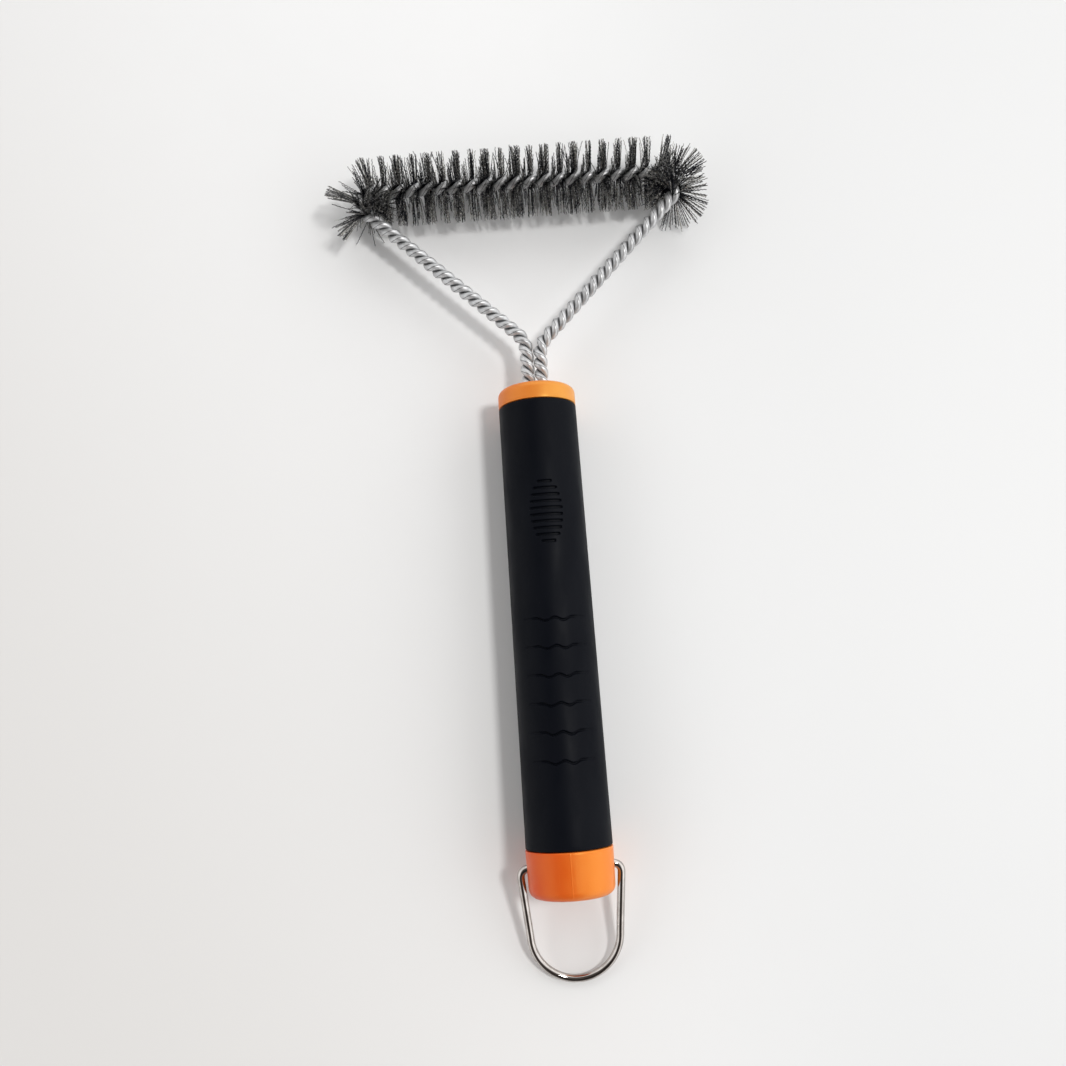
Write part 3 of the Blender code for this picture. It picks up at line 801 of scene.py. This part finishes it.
def end_cap(look):
    """The cap with its parting line, and the two pivot holes cut through its side."""
    fine = np.radians(90 + np.arange(-6, 6.1, 0.4))
    coarse = np.radians(90 + np.arange(8.25, 352, 2.25))
    angles = np.concatenate([fine, coarse])
    sides = len(angles)
    spigot_radius = CORE_BORE_RADIUS - GAP
    hollow_radius = spigot_radius - SPIGOT_WALL
    spigot_y = CAP_RIM_Y + SPIGOT_LENGTH
    lip = 0.45 * MM
    profile = [
        (CENTRE_HOLE, CAP_END_WALL),
        (hollow_radius, CAP_END_WALL),
        (hollow_radius, spigot_y),
        (spigot_radius, spigot_y),
        (spigot_radius, CAP_RIM_Y),
    ]
    profile += arc((CAP_RIM_RADIUS - lip, CAP_RIM_Y - lip), lip, 90, 0, 5)
    slope = (CAP_RIM_RADIUS - CAP_END_RADIUS) / (CAP_RIM_Y - CAP_FILLET)
    side_rows = np.linspace(CAP_RIM_Y - 1.2 * MM, CAP_FILLET + 0.5 * MM, 14)
    profile += [(CAP_END_RADIUS + slope * (y - CAP_FILLET), y) for y in side_rows]
    profile += arc((CAP_END_RADIUS - CAP_FILLET, CAP_FILLET), CAP_FILLET, 0, -90, 12)
    profile += [(8 * MM, 0), (4 * MM, 0), (CENTRE_HOLE, 0)]
    off_line = (angles - math.pi / 2) * PARTING_RADIUS
    ridge = PARTING_HEIGHT * np.exp(-((off_line / PARTING_WIDTH) ** 2))
    points = []
    for radius, y in profile:
        outside = radius > CORE_RADIUS and y < CAP_RIM_Y
        r = radius + (ridge if outside else 0)
        ring_y = np.full(sides, y)
        points.append(np.stack([r * np.cos(angles), ring_y, r * np.sin(angles)], axis=-1))
    points = np.concatenate(points)
    quads = ring_quads(len(profile), sides, True)
    cap = mesh_object("cap", points, [quads], look, sharp=40)
    for side in (-1, 1):
        cut_pivot_hole(cap, side, look)
    return cap


def hanging_bail(look):
    line = [(-BAIL_PIN_INNER_X, 0.0)]
    bend_x = BAIL_LEG_X - BAIL_BEND_RADIUS
    for angle in np.linspace(0, math.pi / 2, 10):
        line.append(
            (-bend_x - BAIL_BEND_RADIUS * math.sin(angle), BAIL_BEND_RADIUS * (1 - math.cos(angle)))
        )
    for angle in np.linspace(0, math.pi / 2, 40):
        rise = BAIL_REACH - BAIL_SHOULDER
        line.append((-BAIL_SHOULDER_X * math.cos(angle), BAIL_SHOULDER + rise * math.sin(angle)))
    line = line + [(-x, v) for x, v in reversed(line[:-1])]
    line = np.array(line)
    length = np.concatenate([[0], np.cumsum(np.hypot(*np.diff(line, axis=0).T))])
    steps = int(length[-1] / (0.3 * MM)) | 1
    even = np.linspace(0, length[-1], steps)
    xs = np.interp(even, length, line[:, 0])
    vs = np.interp(even, length, line[:, 1])
    kernel = np.hanning(9)
    kernel /= kernel.sum()
    for _ in range(3):
        xs[4:-4] = np.convolve(xs, kernel, "valid")
        vs[4:-4] = np.convolve(vs, kernel, "valid")
    cos, sin = math.cos(BAIL_DROOP), math.sin(BAIL_DROOP)
    centre = np.stack([xs, PIVOT_Y - vs * cos, -vs * sin], axis=-1)[None]
    reference = np.array((0.0, -sin, cos))
    sides = 24
    points, faces = tube(centre, reference, BAIL_WIRE_RADIUS, sides)
    shape = (steps, sides)
    lay = np.stack(
        [
            np.broadcast_to(even[:, None] / MM, shape),
            np.broadcast_to(TURN * np.arange(sides)[None] / sides, shape),
            np.zeros(shape),
        ],
        axis=-1,
    )
    return mesh_object("bail_wire", points, faces, look, lay.reshape(-1, 3))


# ---------------------------------------------------------------- the object

# For both oranges, the second colour is painted shade at -X and the third painted light at +X.
collar_look = orange_plastic("collar_orange", (0.65, 0.132, 0.019), (0.64, 0.25, 0.042))
cap_look = orange_plastic("cap_orange", (0.58, 0.034, 0.003), (0.69, 0.175, 0.019))
wire_look = galvanised_wire()
bristle_look = bristle_steel()

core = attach(handle_core(collar_look), "brush")
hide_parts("handle_core")

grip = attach(grip_sleeve(black_rubber()), "brush")
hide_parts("grip_sleeve")

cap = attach(end_cap(cap_look), "brush")
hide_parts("end_cap")

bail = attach(hanging_bail(chrome_wire()), "bail")
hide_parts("hanging_bail")

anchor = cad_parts["stem_anchor"]
anchor.data.materials.clear()
anchor.data.materials.append(inner_plastic())

path = head_path()
upright = math.pi / 2 - path.at(tuft_zero(path))[5]
for letter, phase in (("a", upright), ("b", upright + math.pi)):
    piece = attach(strand("frame_wire_" + letter, path, float(phase), wire_look), "brush")
    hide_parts("wire_strand_" + letter)

rope_points = path.at(np.arange(0, path.length, 1.2 * MM))[0]
for number in range(1, TUFTS + 1):
    piece = bunch(f"bristles_{number:02d}", number, path, rope_points, bristle_look)
    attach(piece, "brush")
    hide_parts(f"bristle_tuft_{number:02d}")


# ---------------------------------------------------------------- table, light and camera

TABLE_HALF = 2.5
TABLE_GAP = 0.05 * MM
CAP_REST_Y = 8 * MM
FILAMENT_TIP_DROP = 0.1 * MM

# Brightness of the walls on each side, and what is left of it towards the ceiling and the person.
WALL_LEFT = 1.36
WALL_RIGHT = 1.78
CEILING = 0.1
PERSON = 0.09
DIM_TINT = (0.86, 0.74, 0.68)

LAMP_SIZE = 0.27
LAMP_POWER = 12.9
LAMP_COLOUR = (1.0, 0.992, 0.98)
LAMP_AIM = (0, 0.14, 0)
LAMP_TOWARDS = (0.407, 0.04, 0.9135)
LAMP_DISTANCE = 1.7

LENS = 34.815
CAMERA_PLACE = (-2.17, 65.75, 381.43)
CAMERA_ROLL = 4.053
CAMERA_TILT = -9.669
CAMERA_PAN = -0.422


def floor():
    """A wide flat table that the cap and the lowest bristles both touch."""
    cap_z = -CAP_RIM_RADIUS
    head_z = -TUFT_RADIUS - FILAMENT_TIP_DROP
    rise = (head_z - cap_z) / (BAR_Y - CAP_REST_Y)
    points = []
    for x, y in ((-1, -1), (1, -1), (1, 1), (-1, 1)):
        y = y * TABLE_HALF
        points.append((x * TABLE_HALF, y, cap_z - TABLE_GAP + rise * (y - CAP_REST_Y)))
    return mesh_object("table", np.array(points), [np.array([[0, 1, 2, 3]])], table_top())


def surroundings():
    """Bright walls, brighter on the right, a dim ceiling, and someone standing at the handle end."""
    world = bpy.data.worlds.new("room")
    bpy.context.scene.world = world
    world.use_nodes = True
    nodes = world.node_tree.nodes
    links = world.node_tree.links
    background = nodes["Background"]
    direction = nodes.new("ShaderNodeTexCoord").outputs["Generated"]

    def lobe(towards, wide, narrow, low, high):
        """Goes from low to high as a direction's cosine to this one goes from wide to narrow."""
        dot = nodes.new("ShaderNodeVectorMath")
        dot.operation = "DOT_PRODUCT"
        dot.inputs[1].default_value = Vector(towards).normalized()
        links.new(direction, dot.inputs[0])
        ranged = nodes.new("ShaderNodeMapRange")
        ranged.interpolation_type = "SMOOTHSTEP"
        links.new(dot.outputs["Value"], ranged.inputs[0])
        for index, value in ((1, wide), (2, narrow), (3, low), (4, high)):
            ranged.inputs[index].default_value = value
        return ranged.outputs[0]

    def combine(operation, a, b):
        made = nodes.new("ShaderNodeMath")
        made.operation = operation
        links.new(a, made.inputs[0])
        links.new(b, made.inputs[1])
        return made.outputs[0]

    walls = lobe((1, 0, 0), -0.7, 0.7, WALL_LEFT, WALL_RIGHT)
    overhead = lobe((-0.03, -0.1, 1.0), 0.6, 0.86, 1.0, CEILING)
    person = lobe((-0.08, -0.8, 0.6), 0.78, 0.92, 1.0, PERSON)
    light = combine("MULTIPLY", combine("MULTIPLY", walls, overhead), person)
    tint = nodes.new("ShaderNodeMix")
    tint.data_type = "RGBA"
    links.new(light, tint.inputs[0])
    tint.inputs[6].default_value = (*DIM_TINT, 1)
    tint.inputs[7].default_value = (1.0, 1.0, 1.0, 1)
    links.new(tint.outputs[2], background.inputs["Color"])
    links.new(light, background.inputs["Strength"])


def key_light():
    """The main lamp, high on the right."""
    data = bpy.data.lights.new("key", "AREA")
    data.shape = "DISK"
    data.size = LAMP_SIZE
    data.energy = LAMP_POWER
    data.color = LAMP_COLOUR
    lamp = bpy.data.objects.new("key", data)
    bpy.context.scene.collection.objects.link(lamp)
    away = Vector(LAMP_TOWARDS).normalized()
    lamp.location = Vector(LAMP_AIM) + away * LAMP_DISTANCE
    lamp.rotation_euler = away.to_track_quat("Z", "Y").to_euler()


def camera():
    """The viewpoint: above the handle, looking down and a little towards the head."""
    data = bpy.data.cameras.new("camera")
    data.sensor_width = 36.0
    data.lens = LENS
    data.clip_start = 0.01
    data.clip_end = 20
    made = bpy.data.objects.new("camera", data)
    bpy.context.scene.collection.objects.link(made)
    turn = Matrix.Rotation(math.radians(CAMERA_ROLL), 3, "Z")
    turn = turn @ Matrix.Rotation(math.radians(CAMERA_TILT), 3, "X")
    turn = turn @ Matrix.Rotation(math.radians(CAMERA_PAN), 3, "Y")
    place = Matrix.Translation(Vector(CAMERA_PLACE) * MM)
    made.matrix_world = place @ turn.transposed().to_4x4()
    bpy.context.scene.camera = made


floor()
surroundings()
key_light()
camera()
view = bpy.context.scene.view_settings
view.view_transform = "Standard"
view.look = "None"
